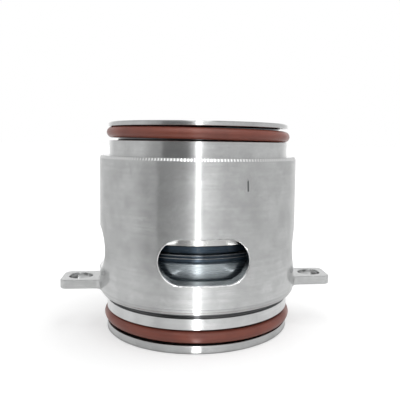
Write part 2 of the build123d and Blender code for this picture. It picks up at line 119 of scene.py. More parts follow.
class NodeSheet:
    """The node tree of a material or of the sky, with short calls to add nodes and join them."""

    def __init__(self, owner: bpy.types.Material | bpy.types.World) -> None:
        """Starts with an empty tree.

        Args:
            owner: The material or world that the tree belongs to.
        """
        owner.use_nodes = True
        self.owner = owner
        self.tree = owner.node_tree
        self.tree.nodes.clear()

    @cached_property
    def place(self) -> Socket:
        """Where each point lies in the part's frame, in metres."""
        return self.node("ShaderNodeTexCoord").outputs["Object"]

    def node(self, kind: str, feeds: Feeds | None = None, **settings: object) -> bpy.types.Node:
        """Adds a node.

        Args:
            kind: The node's type.
            feeds: What its inputs take, by name or number: a socket to link, or a plain value.
            **settings: Its properties.

        Returns:
            The node.
        """
        made = self.tree.nodes.new(kind)
        for name, setting in settings.items():
            setattr(made, name, setting)
        for key, value in (feeds or {}).items():
            if isinstance(value, bpy.types.NodeSocket):
                self.tree.links.new(value, made.inputs[key])
            else:
                made.inputs[key].default_value = value
        return made

    def close(self, surface: Socket, output: str = "ShaderNodeOutputMaterial") -> None:
        """Joins the last shader to the tree's output."""
        self.node(output, {"Surface": surface})

    def math(self, operation: str, first: Socket | float, second: Socket | float = 0.0) -> Socket:
        """The result of a Math node."""
        return self.node("ShaderNodeMath", {0: first, 1: second}, operation=operation).outputs[0]

    def product(self, first: Socket, *others: Socket | float) -> Socket:
        """Multiplies values.

        Args:
            first: The first value.
            *others: The values that it is multiplied by, one after another.

        Returns:
            The product.
        """
        for other in others:
            first = self.math("MULTIPLY", first, other)
        return first

    def strongest(self, masks: Iterable[Socket]) -> Socket | float:
        """The strongest of several masks at each point.

        Args:
            masks: The masks.

        Returns:
            The result, or 0 where there are no masks.
        """
        result: Socket | float = 0.0
        for mask in masks:
            result = self.math("MAXIMUM", mask, result)
        return result

    def vector(self, operation: str, first: Socket, second: Feed = (0, 0, 0)) -> bpy.types.Node:
        """A Vector Math node, whose result may be its value or its vector."""
        return self.node("ShaderNodeVectorMath", {0: first, 1: second}, operation=operation)

    def length(self, source: Socket) -> Socket:
        """The length of a vector."""
        return self.vector("LENGTH", source).outputs["Value"]

    def combine(self, x: Socket | float, y: Socket | float, z: Socket | float) -> Socket:
        """Joins three values into a vector."""
        return self.node("ShaderNodeCombineXYZ", {0: x, 1: y, 2: z}).outputs[0]

    def split(self, source: Socket) -> list[Socket]:
        """Splits a vector into its three values."""
        return list(self.node("ShaderNodeSeparateXYZ", {0: source}).outputs)

    def spread(self, value: Socket, span: Span, result: Span = RISING) -> Socket:
        """Maps a value's span onto another, and clamps what lies past it."""
        ends = dict(zip(("From Min", "From Max", "To Min", "To Max"), (*span, *result)))
        return self.node("ShaderNodeMapRange", {"Value": value, **ends}).outputs[0]

    def band(self, value: Socket, span: Span, blur: float) -> Socket:
        """A mask that is 1 inside a span and fades to 0 outside it.

        Args:
            value: The value that the mask depends on.
            span: Where the mask is 1.
            blur: How far past the span it fades.

        Returns:
            The mask.
        """
        low, high = span
        rise = self.spread(value, (low - blur, low))
        return self.product(rise, self.spread(value, (high, high + blur), FALLING))

    def blend(self, factor: Socket | float, first: Socket | Colour, second: Socket | Colour) -> Socket:
        """Mixes two colours.

        Args:
            factor: 0 for the first colour and 1 for the second.
            first: The first colour.
            second: The second colour.

        Returns:
            The mixed colour.
        """
        feeds: Feeds = {"Factor": factor}
        for key, colour in zip(MIX_COLOURS, (first, second)):
            feeds[key] = colour if isinstance(colour, bpy.types.NodeSocket) else (*colour, 1.0)
        return self.node("ShaderNodeMix", feeds, data_type="RGBA").outputs[MIXED_COLOUR]

    def blend_values(self, factor: Socket, first: Socket, second: Socket) -> Socket:
        """Mixes two values, the first at a factor of 0 and the second at 1."""
        feeds: Feeds = {"Factor": factor, **dict(zip(MIX_VALUES, (first, second)))}
        return self.node("ShaderNodeMix", feeds, data_type="FLOAT").outputs[MIXED_VALUE]

    def noise(
        self,
        vector: Socket,
        scale: float = 1.0,
        detail: float = 3.0,
        roughness: float = 0.55,
        w: Socket | None = None,
    ) -> Socket:
        """Adds a noise texture.

        Args:
            vector: Where the noise is read.
            scale: Features for each unit of the vector.
            detail: Octaves of finer noise.
            roughness: How strong the finer octaves are.
            w: A fourth coordinate, where one is wanted.

        Returns:
            The noise value, about 0.5 on average.
        """
        feeds: Feeds = {"Vector": vector, "Scale": scale, "Detail": detail, "Roughness": roughness}
        if w:
            feeds["W"] = w
        return self.node("ShaderNodeTexNoise", feeds, noise_dimensions="4D" if w else "3D").outputs[0]

    def grain(self, size: float, detail: float = 3.0, roughness: float = 0.55) -> Socket:
        """Noise that is alike in every direction, with features of a size in millimetres."""
        return self.noise(self.place, 1.0 / (size * MM), detail, roughness)

    def millimetres(self, source: Socket) -> Socket:
        """Turns a value in metres into millimetres."""
        return self.math("MULTIPLY", source, 1.0 / MM)

    def height(self) -> Socket:
        """The height above the foot, in millimetres."""
        return self.millimetres(self.split(self.place)[2])

    def outward(self) -> Socket:
        """The level way out from the shaft axis, in metres."""
        return self.vector("MULTIPLY", self.place, (1, 1, 0)).outputs[0]

    def radius(self) -> Socket:
        """The distance from the shaft axis, in metres."""
        return self.length(self.outward())

    def unsigned(self) -> list[Socket]:
        """The distances along X, Y and Z from the origin, without their signs, in metres."""
        return self.split(self.vector("ABSOLUTE", self.place).outputs[0])

    def turn(self) -> Socket:
        """The angle about the shaft axis, in radians from +X."""
        x, y, _ = self.split(self.place)
        return self.math("ARCTAN2", y, x)

    def ring_marks(self, pitch: float, sweep: float) -> Socket:
        """Noise drawn out round the shaft axis, as a lathe leaves it.

        Args:
            pitch: The distance between marks, in millimetres.
            sweep: How often a mark changes in a full turn.

        Returns:
            The noise value.
        """
        round_x, round_y, _ = self.split(self.vector("NORMALIZE", self.outward()).outputs[0])
        marks_per_metre = 1.0 / (pitch * MM)
        across = self.product(self.radius(), marks_per_metre)
        along = self.product(self.split(self.place)[2], marks_per_metre)
        where = self.combine(across, along, self.product(round_x, sweep))
        return self.noise(where, w=self.product(round_y, sweep))

    def straight_marks(self, pitch: float, length: float) -> Socket:
        """Noise drawn out along X, as a milling cutter leaves it."""
        strokes = (1.0 / (length * MM), 1.0 / (pitch * MM), 1.0 / (pitch * MM))
        return self.noise(self.vector("MULTIPLY", self.place, strokes).outputs[0])

    def grooves(self, across: Socket, pitch: float) -> Socket:
        """A wave over grooves of a pitch in millimetres, -1 on their crests and 1 in their valleys."""
        return self.math("SINE", self.product(across, FULL_TURN / (pitch * MM)))

    def stroke(self, start: Vector, end: Vector, width: float) -> Socket:
        """A mask along a short line, 1 on it and fading to 0 at half its width.

        Args:
            start: Where the line starts, in metres.
            end: Where it ends, in metres.
            width: Its width, in metres.

        Returns:
            The mask.
        """
        line = end - start
        from_start = self.vector("SUBTRACT", self.place, tuple(start)).outputs[0]
        reach = self.vector("DOT_PRODUCT", from_start, tuple(line)).outputs["Value"]
        share = self.spread(reach, (0.0, line.length_squared))
        nearest = self.combine(*(self.product(share, part) for part in line))
        gap = self.vector("DISTANCE", from_start, nearest).outputs["Value"]
        core, edge = 0.2 * width, 0.5 * width
        return self.spread(gap, (core, edge), FALLING)

    def bump(self, height: Socket, depth: float, below: Socket | None = None) -> Socket:
        """Adds a bump.

        Args:
            height: The height, from 0 to 1.
            depth: What a height of 1 stands for, in millimetres.
            below: A normal that this bump is added to.

        Returns:
            The new normal.
        """
        feeds: Feeds = {"Height": height, "Distance": depth * MM}
        if below:
            feeds["Normal"] = below
        return self.node("ShaderNodeBump", feeds).outputs["Normal"]


# ---------------------------------------------------------------- finishes


@dataclass(frozen=True)
class Finish:
    """A surface finish: its material's name, and the record's slot that it stands for, which is not used.
    """

    name: str
    slot: str

    def feeds(self, sheet: NodeSheet) -> Feeds:
        """What the shader's inputs take, which each kind of finish says for itself."""
        raise NotImplementedError

    def material(self) -> bpy.types.Material:
        """Builds the material.

        Returns:
            The material.
        """
        made = bpy.data.materials.new(self.name)
        sheet = NodeSheet(made)
        shader = sheet.node("ShaderNodeBsdfPrincipled", self.feeds(sheet))
        sheet.close(shader.outputs["BSDF"])
        return made


@dataclass(frozen=True)
class WorkedSteel(Finish):
    """Steel shaped on a lathe or a mill, bright, with fine tool marks.

    The tool's feed leaves even grooves, smooth on their crests and torn in their valleys. Uneven
    marks, wider bands of tone, a fine mottle and soft stains lie over them.
    """

    colour: Colour = (0.565, 0.571, 0.571)
    tone_spread: float = 0.10
    tone_span: Span = (1.1, 1.9)
    band_pitch: float = 1.1
    mottle_size: float = 1.3
    roughness: float = 0.19
    valley_roughness: float = 0.34
    valley_span: Span = (-0.2, 0.2)
    anisotropy: float = 0.6
    anisotropy_turn: float = 0.25
    feed: float = 0.09
    mark_pitch: float = 0.35
    mark_sweep: float = 1.6
    mark_depth: float = 0.0004
    stain_size: float = 7.0
    stain_span: Span = (0.40, 0.72)
    stain_depth: float = 0.14

    def marks(self, sheet: NodeSheet, pitch: float) -> Socket:
        """The uneven tool marks at one pitch, in millimetres."""
        return sheet.ring_marks(pitch, self.mark_sweep)

    def across(self, sheet: NodeSheet) -> Socket:
        """The distance across the even grooves, in metres."""
        return sheet.math("ADD", sheet.radius(), sheet.split(sheet.place)[2])

    def tone(self, sheet: NodeSheet, marks: Socket) -> Socket:
        """The colour, lighter and darker along the marks and in patches, with soft stains.

        Args:
            sheet: The sheet that takes the nodes.
            marks: The uneven tool marks.

        Returns:
            The colour.
        """
        shares = (1.0 - self.tone_spread, 1.0 + self.tone_spread, 1.0 - self.stain_depth)
        dark, light, stained = (tuple(part * share for part in self.colour) for share in shares)
        bands = sheet.math("ADD", marks, self.marks(sheet, self.band_pitch))
        mottle = sheet.grain(self.mottle_size, detail=4.0, roughness=0.65)
        mixed = sheet.spread(sheet.math("ADD", bands, mottle), self.tone_span)
        stain = sheet.spread(sheet.grain(self.stain_size), self.stain_span)
        return sheet.blend(stain, sheet.blend(mixed, dark, light), stained)

    def gloss(self, sheet: NodeSheet, wave: Socket) -> Socket:
        """The roughness, smooth on the grooves' crests and torn in their valleys."""
        return sheet.spread(wave, self.valley_span, (self.roughness, self.valley_roughness))

    def relief(self, sheet: NodeSheet, marks: Socket) -> Socket:
        """The surface normal with the uneven marks cut into it."""
        return sheet.bump(marks, self.mark_depth)

    def feeds(self, sheet: NodeSheet) -> Feeds:
        """What the shader's inputs take.

        Args:
            sheet: The sheet that takes the nodes.

        Returns:
            The feeds, by input.
        """
        marks = self.marks(sheet, self.mark_pitch)
        wave = sheet.grooves(self.across(sheet), self.feed)
        tangent = sheet.node("ShaderNodeTangent", direction_type="RADIAL", axis="Z")
        return {
            "Base Color": self.tone(sheet, marks),
            "Roughness": self.gloss(sheet, wave),
            "Normal": self.relief(sheet, marks),
            "Tangent": tangent.outputs[0],
            "Metallic": 1.0,
            "Anisotropic": self.anisotropy,
            "Anisotropic Rotation": self.anisotropy_turn,
        }


@dataclass(frozen=True)
class Scuff:
    """A short mark left by handling, from one place on the body to another.

    Each place is an angle about the shaft axis from +X, and a height.
    """

    start: tuple[float, float]
    end: tuple[float, float]
    width: float
    strength: float
    radius: float = 40.0

    def mask(self, sheet: NodeSheet) -> Socket:
        """The mark's mask on a sheet."""
        start, end = (polar(self.radius, math.radians(turn), z) * MM for turn, z in (self.start, self.end))
        return sheet.product(sheet.stroke(start, end, self.width * MM), self.strength)


@dataclass(frozen=True)
class ShadedGroove:
    """A groove painted dark between two heights and two radii: painted shade in the recess."""

    heights: Span
    outer_radius: float
    inner_radius: float = 32.6
    height_blur: float = 0.05
    radius_blur: float = 0.1

    def mask(self, sheet: NodeSheet) -> Socket:
        """The mask of the groove's painted shade on a sheet.

        Args:
            sheet: The sheet that takes the nodes.

        Returns:
            The mask.
        """
        level = sheet.band(sheet.height(), self.heights, self.height_blur)
        radii = (self.inner_radius, self.outer_radius)
        return sheet.product(level, sheet.band(sheet.millimetres(sheet.radius()), radii, self.radius_blur))


@dataclass(frozen=True)
class HousingSteel(WorkedSteel):
    """The housing's steel: ground necks, a matt turned body, milled lugs and windows."""

    edge_blur: float = 0.05
    body_roughness: float = 0.14
    body_valley_roughness: float = 0.60
    body_start_radius: float = 38.3
    body_blend: float = 0.3
    lug_start_radius: float = 40.5
    lug_blend: float = 1.4
    lug_stroke: float = 14.0
    window_middle: float = 33.3
    window_half_length: float = 16.15
    window_half_height: float = 8.1
    # Light colour painted on the window rims and the chatter's crests: painted highlights.
    painted_highlight_colour: Colour = (0.90, 0.90, 0.90)
    rim_inset: float = 0.02
    rim_width: float = 0.12
    chatter_heights: Span = (68.5, 69.4)
    chatter_count: int = 214
    chatter_crest: Span = (0.0, 0.4)
    chatter_depth: float = 0.03
    bore_place: float = 48.0
    bore_radius: float = 4.75
    bore_blend: float = 0.1
    bore_roughness: Span = (0.12, 0.16)
    # Thin rings painted dark at and just below the taper's top edge: painted shade lines.
    shade_line_heights: tuple[float, ...] = (15.8, 16.8)
    shade_line_width: float = 0.16
    shade_line_strength: float = 0.3
    # Dark colour painted into the O-ring grooves and the relief under the body, and along thin lines low
    # on it: painted shade.
    painted_shade_colour: Colour = (0.12, 0.12, 0.125)
    painted_groove_shade: tuple[ShadedGroove, ...] = (
        ShadedGroove((3.1, 8.7), 36.95),
        ShadedGroove((12.8, 14.9), 36.95),
        ShadedGroove((75.45, 80.85), 36.05),
    )
    scuff_colour: Colour = (0.10, 0.105, 0.11)
    scuffs: tuple[Scuff, ...] = (
        Scuff((-67.9, 61.6), (-67.7, 58.3), 0.8, 0.95),
        Scuff((-68.6, 62.6), (-67.5, 61.9), 0.3, 0.35),
        Scuff((-79.6, 56.9), (-76.0, 55.6), 0.22, 0.28),
        Scuff((-78.6, 55.2), (-75.6, 54.2), 0.20, 0.22),
        Scuff((-130.5, 66.3), (-130.2, 64.2), 0.35, 0.16),
    )

    def on_lug(self, sheet: NodeSheet) -> Socket:
        """A mask of the lugs."""
        start = self.lug_start_radius * MM
        return sheet.spread(sheet.radius(), (start, start + self.lug_blend * MM))

    def on_body(self, sheet: NodeSheet) -> Socket:
        """A mask of the body and what stands out from it."""
        start = self.body_start_radius * MM
        return sheet.spread(sheet.radius(), (start, start + self.body_blend * MM))

    def on_rim_highlight(self, sheet: NodeSheet) -> Socket:
        """A mask of the deburred rims where the windows break through the body, painted light as a painted
        highlight.

        Args:
            sheet: The sheet that takes the nodes.

        Returns:
            The mask.
        """
        # The four windows are alike and square to each other, so the smaller of x and y runs along each.
        x, y, z = sheet.unsigned()
        straight = (self.window_half_length - self.window_half_height) * MM
        across = sheet.math("MAXIMUM", sheet.math("SUBTRACT", sheet.math("MINIMUM", x, y), straight), 0.0)
        up = sheet.math("SUBTRACT", z, self.window_middle * MM)
        gap = sheet.millimetres(sheet.length(sheet.combine(across, up, 0.0)))
        edge = self.window_half_height
        rim = (edge - self.rim_inset, edge + self.rim_width)
        return sheet.product(sheet.band(gap, rim, self.edge_blur), self.on_body(sheet))

    def in_bores(self, sheet: NodeSheet) -> Socket:
        """A mask of the reamed holes in the lugs.

        Args:
            sheet: The sheet that takes the nodes.

        Returns:
            The mask.
        """
        x, y, _ = sheet.unsigned()
        out = sheet.math("SUBTRACT", x, self.bore_place * MM)
        gap = sheet.millimetres(sheet.length(sheet.combine(out, y, 0.0)))
        return sheet.spread(gap, (self.bore_radius, self.bore_radius + self.bore_blend), FALLING)

    def on_painted_shade_lines(self, sheet: NodeSheet) -> Socket:
        """A mask of thin rings low on the body, at and just below the taper's top edge, painted dark:
        painted shade lines.

        Args:
            sheet: The sheet that takes the nodes.

        Returns:
            The mask.
        """
        rings = sheet.strongest(
            sheet.band(sheet.height(), (line, line + self.shade_line_width), self.edge_blur)
            for line in self.shade_line_heights
        )
        off_lug = sheet.math("SUBTRACT", 1.0, self.on_lug(sheet))
        return sheet.product(rings, off_lug, self.on_body(sheet), self.shade_line_strength)

    def chatter(self, sheet: NodeSheet) -> tuple[Socket, Socket]:
        """The even chatter round the taper under the shoulder.

        Args:
            sheet: The sheet that takes the nodes.

        Returns:
            The wave, from -1 to 1, and a mask of where it lies.
        """
        wave = sheet.math("SINE", sheet.product(sheet.turn(), self.chatter_count))
        where = sheet.band(sheet.height(), self.chatter_heights, self.edge_blur)
        return wave, sheet.product(where, self.on_body(sheet))

    def marks(self, sheet: NodeSheet, pitch: float) -> Socket:
        """Rings about the shaft axis, and straight strokes on the lugs."""
        strokes = sheet.straight_marks(pitch, self.lug_stroke)
        return sheet.blend_values(self.on_lug(sheet), super().marks(sheet, pitch), strokes)

    def across(self, sheet: NodeSheet) -> Socket:
        """The distance across the grooves, which run along X on the lugs."""
        _, y, z = sheet.split(sheet.place)
        return sheet.blend_values(self.on_lug(sheet), super().across(sheet), sheet.math("ADD", y, z))

    def tone(self, sheet: NodeSheet, marks: Socket) -> Socket:
        """The steel's tone with painted highlights on its window rims and chatter crests, painted shade
        lines low on the body and in its grooves, and scuffs.

        Args:
            sheet: The sheet that takes the nodes.
            marks: The uneven tool marks.

        Returns:
            The colour.
        """
        wave, where = self.chatter(sheet)
        # The chatter's crests are painted light: painted glints.
        painted_glints = sheet.product(sheet.spread(wave, self.chatter_crest), where)
        painted_groove_shade = sheet.strongest(groove.mask(sheet) for groove in self.painted_groove_shade)
        coats = [
            # Painted highlights on the window rims and the chatter's crests.
            (self.on_rim_highlight(sheet), self.painted_highlight_colour),
            (painted_glints, self.painted_highlight_colour),
            # Painted shade: thin lines low on the body, and the grooves.
            (self.on_painted_shade_lines(sheet), self.painted_shade_colour),
            (painted_groove_shade, self.painted_shade_colour),
        ]
        coats.extend((scuff.mask(sheet), self.scuff_colour) for scuff in self.scuffs)
        shade = super().tone(sheet, marks)
        for mask, colour in coats:
            shade = sheet.blend(mask, shade, colour)
        return shade

    def gloss(self, sheet: NodeSheet, wave: Socket) -> Socket:
        """The roughness: smooth necks and lug bores, and a matt body.

        Args:
            sheet: The sheet that takes the nodes.
            wave: The even grooves, from -1 to 1.

        Returns:
            The roughness.
        """
        body = sheet.spread(wave, self.valley_span, (self.body_roughness, self.body_valley_roughness))
        turned = sheet.blend_values(self.on_body(sheet), super().gloss(sheet, wave), body)
        reamed = sheet.spread(wave, (-1.0, 1.0), self.bore_roughness)
        return sheet.blend_values(self.in_bores(sheet), turned, reamed)

    def relief(self, sheet: NodeSheet, marks: Socket) -> Socket:
        """The tool marks, and the chatter on the taper under the shoulder."""
        chatter = sheet.bump(sheet.product(*self.chatter(sheet)), self.chatter_depth)
        return sheet.bump(marks, self.mark_depth, chatter)


@dataclass(frozen=True)
class LappedCarbide(Finish):
    """Sintered carbide, ground and lapped to a dark mirror."""

    colour: Colour = (0.030, 0.046, 0.064)
    fleck_colour: Colour = (0.055, 0.070, 0.088)
    fleck_size: float = 0.5
    fleck_span: Span = (0.5, 0.8)
    roughness: float = 0.29
    roughness_spread: float = 0.10
    reflective_index: float = 4.0
    reflection_tint: Colour = (0.88, 0.96, 1.0)
    mark_pitch: float = 0.3
    mark_sweep: float = 1.2
    mark_depth: float = 0.0006

    def feeds(self, sheet: NodeSheet) -> Feeds:
        """What the shader's inputs take.

        Args:
            sheet: The sheet that takes the nodes.

        Returns:
            The feeds, by input.
        """
        flecks = sheet.spread(sheet.grain(self.fleck_size, detail=2.0), self.fleck_span)
        marks = sheet.ring_marks(self.mark_pitch, self.mark_sweep)
        rough = around(self.roughness, self.roughness_spread)
        return {
            "Base Color": sheet.blend(flecks, self.colour, self.fleck_colour),
            "Roughness": sheet.spread(marks, NOISE_SPAN, rough),
            "Normal": sheet.bump(marks, self.mark_depth),
            "IOR": self.reflective_index,
            "Specular Tint": (*self.reflection_tint, 1.0),
        }


@dataclass(frozen=True)
class MouldedRubber(Finish):
    """Satin rubber as it leaves the mould, lightly greased."""

    colour: Colour = (0.27, 0.076, 0.050)
    dark_colour: Colour = (0.20, 0.058, 0.042)
    sheen_level: float = 0.4
    reflective_index: float = 1.5
    roughness: float = 0.36
    roughness_spread: float = 0.08
    bloom_size: float = 9.0
    grain_size: float = 0.35
    speckle_span: Span = (0.2, 0.55)
    speckle_strength: float = 0.4
    grain_depth: float = 0.012

    def feeds(self, sheet: NodeSheet) -> Feeds:
        """What the shader's inputs take.

        Args:
            sheet: The sheet that takes the nodes.

        Returns:
            The feeds, by input.
        """
        grain = sheet.grain(self.grain_size, detail=4.0)
        bloom = sheet.grain(self.bloom_size, detail=2.0)
        tone = sheet.blend(sheet.spread(bloom, NOISE_SPAN), self.dark_colour, self.colour)
        speckles = sheet.spread(grain, self.speckle_span, (self.speckle_strength, 0.0))
        smoothest, roughest = around(self.roughness, self.roughness_spread)
        return {
            "Base Color": sheet.blend(speckles, tone, self.dark_colour),
            "Roughness": sheet.spread(bloom, NOISE_SPAN, (roughest, smoothest)),
            "Normal": sheet.bump(grain, self.grain_depth),
            "IOR": self.reflective_index,
            "Specular IOR Level": self.sheen_level,
        }


@dataclass(frozen=True)
class DrawnWire(Finish):
    """Spring wire with the long scratches of the drawing die."""

    colour: Colour = (0.46, 0.45, 0.43)
    scratch_colour: Colour = (0.30, 0.295, 0.29)
    scratch_size: float = 0.15
    scratch_span: Span = (0.5, 0.75)
    scratch_depth: float = 0.002
    roughness: Span = (0.20, 0.36)

    def feeds(self, sheet: NodeSheet) -> Feeds:
        """What the shader's inputs take.

        Args:
            sheet: The sheet that takes the nodes.

        Returns:
            The feeds, by input.
        """
        scratches = sheet.grain(self.scratch_size, detail=4.0)
        deep = sheet.spread(scratches, self.scratch_span)
        return {
            "Base Color": sheet.blend(deep, self.colour, self.scratch_colour),
            "Roughness": sheet.spread(scratches, NOISE_SPAN, self.roughness),
            "Normal": sheet.bump(scratches, self.scratch_depth),
            "Metallic": 1.0,
        }


@dataclass(frozen=True)
class BlackenedSteel(Finish):
    """Hardened steel under a thin blue-black oxide, worn in places or ground bright at its rim.

    It is ground from a radius outwards, and by default that radius lies outside every piece.
    """

    colour: Colour = (0.026, 0.046, 0.070)
    metal_share: float = 0.5
    worn_colour: Colour = (0.10, 0.11, 0.12)
    wear_size: float = 1.6
    wear_span: Span = (0.55, 0.75)
    roughness: float = 0.30
    roughness_spread: float = 0.06
    mark_pitch: float = 0.2
    mark_sweep: float = 2.0
    mark_depth: float = 0.002
    ground_colour: Colour = (0.62, 0.62, 0.61)
    ground_roughness: float = 0.22
    ground_roughness_spread: float = 0.05
    ground_start_radius: float = 1000.0
    ground_blend: float = 0.1
    # Bands painted bright along edges: painted highlight lines.
    edge_highlight_colour: Colour = (0.42, 0.43, 0.44)
    edge_highlight_heights: tuple[Span, ...] = ()
    edge_highlight_blur: float = 0.08

    def painted_edge_highlights(self, sheet: NodeSheet) -> Socket | float:
        """A mask of bands along edges painted bright: painted highlight lines.

        Args:
            sheet: The sheet that takes the nodes.

        Returns:
            The mask, or 0 where no edge is rubbed.
        """
        return sheet.strongest(
            sheet.band(sheet.height(), heights, self.edge_highlight_blur) for heights in self.edge_highlight_heights
        )

    def feeds(self, sheet: NodeSheet) -> Feeds:
        """What the shader's inputs take.

        Args:
            sheet: The sheet that takes the nodes.

        Returns:
            The feeds, by input.
        """
        wear = sheet.spread(sheet.grain(self.wear_size, detail=5.0, roughness=0.7), self.wear_span)
        marks = sheet.ring_marks(self.mark_pitch, self.mark_sweep)
        oxide = sheet.blend(wear, self.colour, self.worn_colour)
        # Bright bands painted along edges: painted highlight lines.
        oxide = sheet.blend(self.painted_edge_highlights(sheet), oxide, self.edge_highlight_colour)
        start = self.ground_start_radius * MM
        ground = sheet.spread(sheet.radius(), (start, start + self.ground_blend * MM))
        rough = sheet.spread(marks, NOISE_SPAN, around(self.roughness, self.roughness_spread))
        smooth_span = around(self.ground_roughness, self.ground_roughness_spread)
        smooth = sheet.spread(marks, NOISE_SPAN, smooth_span)
        return {
            "Base Color": sheet.blend(ground, oxide, self.ground_colour),
            "Roughness": sheet.blend_values(ground, rough, smooth),
            "Normal": sheet.bump(marks, self.mark_depth),
            "Metallic": sheet.spread(ground, RISING, (self.metal_share, 1.0)),
        }


TURNED_STEEL = HousingSteel(
    "turned_steel_finish", "turned_steel", roughness=0.13, valley_roughness=0.28
)
BRIGHT_STEEL = WorkedSteel(
    "bright_steel_finish", "bright_steel", roughness=0.16, valley_roughness=0.26, stain_depth=0.05
)
SLEEVE_STEEL = WorkedSteel(
    "sleeve_steel_finish", "sleeve_steel", roughness=0.20, valley_roughness=0.32, stain_size=6.0
)
CARBIDE = LappedCarbide("carbide_finish", "carbide")
RUBBER = MouldedRubber("brown_rubber_finish", "brown_rubber")
WIRE = DrawnWire("spring_wire_finish", "spring_steel")
BLACKENED = BlackenedSteel("dark_steel_finish", "dark_steel")
BLACKENED_BRIGHT_RIM = BlackenedSteel(
    "dark_steel_bright_rim_finish", "dark_steel", ground_start_radius=29.6
)
GLOSSY_BLACKENED = BlackenedSteel(
    "glossy_dark_steel_finish",
    "dark_steel",
    roughness=0.2,
    # Bands painted bright on the bead crests: painted highlight lines.
    edge_highlight_heights=((32.75, 32.95), (33.95, 34.1), (49.3, 49.45), (50.45, 50.65)),
)


class FinishBench:
    """Makes each finish once and puts it on pieces."""

    def __init__(self) -> None:
        """Starts with no material made."""
        self.made: dict[str, bpy.types.Material] = {}

    def coat(self, piece: bpy.types.Object, finish: Finish) -> None:
        """Gives a piece one finish all over and reports it.

        Args:
            piece: A mesh, packed or new.
            finish: The finish that it takes.
        """
        if finish.name not in self.made:
            self.made[finish.name] = finish.material()
        piece.data.materials.clear()
        piece.data.materials.append(self.made[finish.name])
        LOG.info("%s has %s", piece.name, finish.name)

    def coat_nodes(self, finishes: dict[str, Finish]) -> None:
        """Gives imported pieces, by node name, a finish each."""
        for name, finish in finishes.items():
            self.coat(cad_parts[name], finish)


# ---------------------------------------------------------------- meshes


def piece_from(name: str, mesh: bmesh.types.BMesh) -> bpy.types.Object:
    """Turns a built mesh into a smooth-shaded object in the scene.

    Args:
        name: The piece's name.
        mesh: The mesh, which is freed.

    Returns:
        The new object.
    """
    bmesh.ops.recalc_face_normals(mesh, faces=mesh.faces)
    data = bpy.data.meshes.new(name)
    mesh.to_mesh(data)
    mesh.free()
    for face in data.polygons:
        face.use_smooth = True
    made = bpy.data.objects.new(name, data)
    bpy.context.scene.collection.objects.link(made)
    return made


def skin_rings(rings: Sequence[Sequence[Vector]], ends: Ends) -> bmesh.types.BMesh:
    """Skins a row of point rings with four-sided faces.

    Args:
        rings: Rings with as many points each, in order.
        ends: Whether the last ring joins the first, or both are capped or left open.

    Returns:
        The mesh.
    """
    mesh = bmesh.new()
    made = [[mesh.verts.new(point) for point in ring] for ring in rings]
    count = len(made[0])
    pairs = list(zip(made, made[1:]))
    if ends is Ends.JOINED:
        pairs.append((made[-1], made[0]))
    for here, there in pairs:
        for i in range(count):
            j = (i + 1) % count
            mesh.faces.new((here[i], here[j], there[j], there[i]))
    if ends is Ends.CAPPED:
        mesh.faces.new(list(reversed(made[0])))
        mesh.faces.new(made[-1])
    return mesh


@dataclass(frozen=True)
class MouldedRing:
    """An O-ring stretched into its groove, with the thin line where the mould halves met."""

    name: str
    node: str
    cord: float = 4.4
    tilt: float = 0.0
    steps: int = 300
    sides: int = 44
    flash_height: float = 0.05
    flash_width: float = 0.12
    wander: float = 0.015
    wander_waves: int = 7
    wander_lead: float = 0.7

    def section_radius(self, angle: float) -> float:
        """The cord's radius at an angle round its section, with the mould line proud.

        Args:
            angle: The angle, in radians from the ring's outer side.

        Returns:
            The radius.
        """
        cord_radius = self.cord / 2.0 - self.flash_height
        arc = min(abs(math.remainder(angle - seam, FULL_TURN)) for seam in (0.0, math.pi)) * cord_radius
        return cord_radius + self.flash_height * math.exp(-((arc / self.flash_width) ** 2))

    def build(self) -> bpy.types.Object:
        """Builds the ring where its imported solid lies, and leaned over as it is.

        Returns:
            The ring.
        """
        low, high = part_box(self.node)
        middle = (low + high) / 2.0
        ring_radius = (high.y - low.y) / 2.0 / MM - self.cord / 2.0
        rings = []
        for step in range(self.steps):
            turn = FULL_TURN * step / self.steps
            lift = self.wander * math.sin(self.wander_waves * turn + self.wander_lead)
            ring = []
            for side in range(self.sides):
                angle = FULL_TURN * side / self.sides
                reach = self.section_radius(angle)
                out = ring_radius + reach * math.cos(angle)
                ring.append(polar(out, turn, reach * math.sin(angle) + lift) * MM)
            rings.append(ring)
        mesh = skin_rings(rings, Ends.JOINED)
        leaned = Matrix.Translation(middle) @ Matrix.Rotation(math.radians(self.tilt), 4, "Y")
        bmesh.ops.transform(mesh, matrix=leaned, verts=mesh.verts)
        return piece_from(self.name, mesh)


